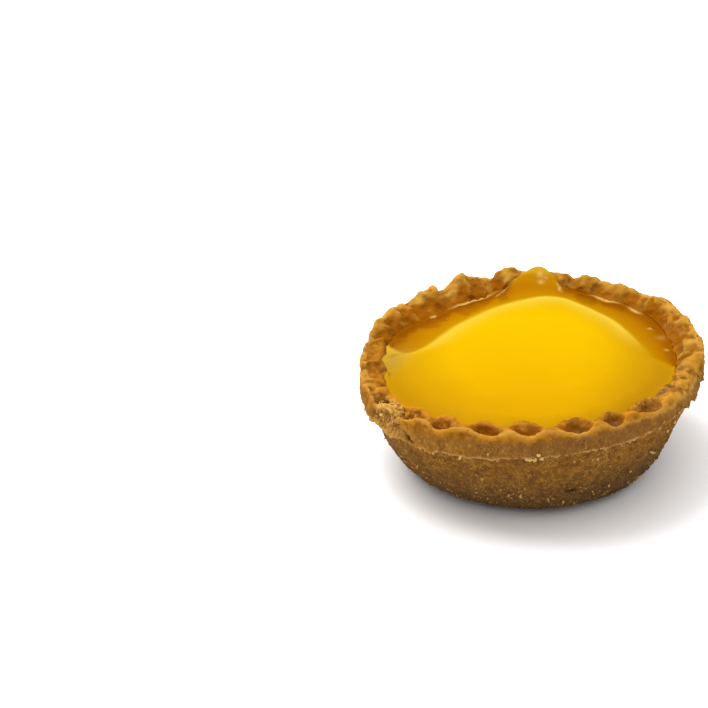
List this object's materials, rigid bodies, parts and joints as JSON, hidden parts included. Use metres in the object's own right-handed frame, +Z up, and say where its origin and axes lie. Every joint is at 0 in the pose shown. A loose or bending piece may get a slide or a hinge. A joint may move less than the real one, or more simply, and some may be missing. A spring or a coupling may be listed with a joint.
{
  "type": "lemon curd tart",
  "caption": "Small round tart: a hand-crimped shortcrust pastry case filled level with domed, glossy lemon curd, with a little run over its rim.",
  "frame": {"origin": "middle of the flat base, on the surface the tart stands on", "axes": "+Z up through the middle of the tart, -Y towards the viewer, +Y towards the place where the curd has run over the rim"},
  "size_m": [0.0695, 0.0705, 0.0256],
  "materials": {
    "shortcrust": "golden-brown baked shortcrust, dry and sandy",
    "lemon_curd": "smooth glossy yellow gel"
  },
  "bodies": {
    "root": {"pastry_case": "shortcrust", "lemon_curd": "lemon_curd"}
  },
  "joints": []
}
